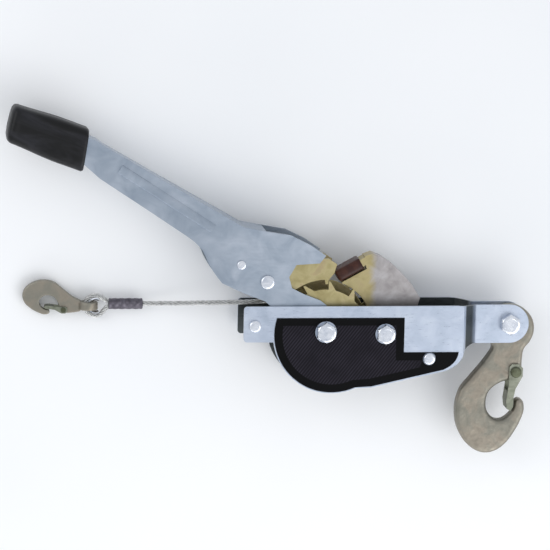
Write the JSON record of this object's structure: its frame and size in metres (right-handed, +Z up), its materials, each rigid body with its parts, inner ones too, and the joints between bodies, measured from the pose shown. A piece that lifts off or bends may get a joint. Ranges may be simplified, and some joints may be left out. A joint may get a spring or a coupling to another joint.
{
  "type": "hand ratchet cable puller",
  "caption": "Hand lever cable puller with a geared ratchet drum between two side plates, a wire rope with a small hook and a large latched hook in its neck.",
  "frame": {"origin": "end of the axle bolt on the drum axis, at the floor the puller lies on", "axes": "+Z up along the drum axis, +X along the frame to the neck and large hook, the rope runs out along -X, the lever rises towards +Y"},
  "size_m": [0.5246, 0.3559, 0.072],
  "materials": {
    "zinc_plate": "clear zinc plate on rolled steel",
    "bright_zinc": "bright zinc plated fasteners",
    "yellow_zinc": "yellow passivated zinc",
    "forged_steel": "drop forged steel, plated",
    "plain_steel": "plain machined steel",
    "dark_steel": "dull dark steel",
    "wire_rope": "galvanised strand wire rope",
    "black_label": "printed vinyl label",
    "black_vinyl": "dipped black vinyl",
    "brown_dip": "dark brown dipped plastic",
    "bronze": "sintered bronze"
  },
  "bodies": {
    "frame": {"side_plate_upper": "zinc_plate", "side_plate_lower": "zinc_plate", "side_label_upper": "black_label", "side_label_lower": "black_label", "axle_bolt": "bright_zinc", "axle_nut": "zinc_plate", "axle_lock_washer": "dark_steel", "axle_sleeve": "plain_steel", "pawl_bolt": "bright_zinc", "pawl_nut": "zinc_plate", "pawl_lock_washer": "dark_steel", "neck_bolt": "bright_zinc", "neck_nut": "zinc_plate", "neck_lock_washer": "dark_steel", "tail_rivet": "bright_zinc", "tail_spacer": "plain_steel", "tie_rivet": "bright_zinc", "tie_spacer": "plain_steel", "stop_pawl_spring": "plain_steel", "rope_lead": "wire_rope", "ferrule": "dark_steel", "rope_eye": "wire_rope", "thimble": "zinc_plate"},
    "drum": {"drum_core": "plain_steel", "ratchet_wheel_upper": "yellow_zinc", "ratchet_wheel_lower": "yellow_zinc", "drum_bush": "bronze", "drum_rivet_1": "plain_steel", "drum_rivet_2": "plain_steel", "drum_rivet_3": "plain_steel", "rope_winding": "wire_rope"},
    "lever": {"lever_arm": "zinc_plate", "handle_grip": "black_vinyl", "drive_pawl_pin": "bright_zinc", "spring_anchor_pin": "bright_zinc", "drive_pawl_spring": "plain_steel"},
    "drive_pawl": {"drive_pawl": "yellow_zinc"},
    "stop_pawl": {"stop_pawl": "yellow_zinc", "thumb_pad": "brown_dip"},
    "front_hook": {"front_hook": "forged_steel", "front_latch_pin": "bright_zinc"},
    "front_latch": {"front_latch": "zinc_plate"},
    "rear_hook": {"rear_hook": "forged_steel", "rear_latch_pin": "bright_zinc"},
    "rear_latch": {"rear_latch": "zinc_plate"}
  },
  "joints": [
    {"name": "lever_swing", "type": "hinge", "parent": "frame", "child": "lever", "pos_m": [0, 0, 0.0382], "axis": [0, 0, 1], "range_deg": [-50, 10]},
    {"name": "drum_spin", "type": "hinge", "parent": "frame", "child": "drum", "pos_m": [0, 0, 0.0382], "axis": [0, 0, 1], "continuous": true},
    {"name": "drive_pawl_tilt", "type": "hinge", "parent": "lever", "child": "drive_pawl", "pos_m": [-0.058, 0.049, 0.0382], "axis": [0, 0, 1], "range_deg": [0, 10], "stiffness_Nm_per_rad": 0.05},
    {"name": "stop_pawl_tilt", "type": "hinge", "parent": "frame", "child": "stop_pawl", "pos_m": [0.059, -0.002, 0.0382], "axis": [0, 0, 1], "range_deg": [0, 12], "stiffness_Nm_per_rad": 0.05},
    {"name": "front_hook_swing", "type": "hinge", "parent": "frame", "child": "front_hook", "pos_m": [0.185, 0.005, 0.0382], "axis": [0, 0, 1], "range_deg": [-20, 195]},
    {"name": "front_latch_swing", "type": "hinge", "parent": "front_hook", "child": "front_latch", "pos_m": [0.193, -0.044, 0.0382], "axis": [0, 0, 1], "range_deg": [-28, 0], "stiffness_Nm_per_rad": 0.02},
    {"name": "rear_hook_lift", "type": "hinge", "parent": "frame", "child": "rear_hook", "pos_m": [-0.229, 0.0175, 0.0098], "axis": [0, 1, 0], "range_deg": [0, 110]},
    {"name": "rear_latch_swing", "type": "hinge", "parent": "rear_hook", "child": "rear_latch", "pos_m": [-0.25294, 0.01358, 0.00796], "axis": [-0.0767, 0, 0.9971], "range_deg": [-28, 0], "stiffness_Nm_per_rad": 0.01}
  ]
}
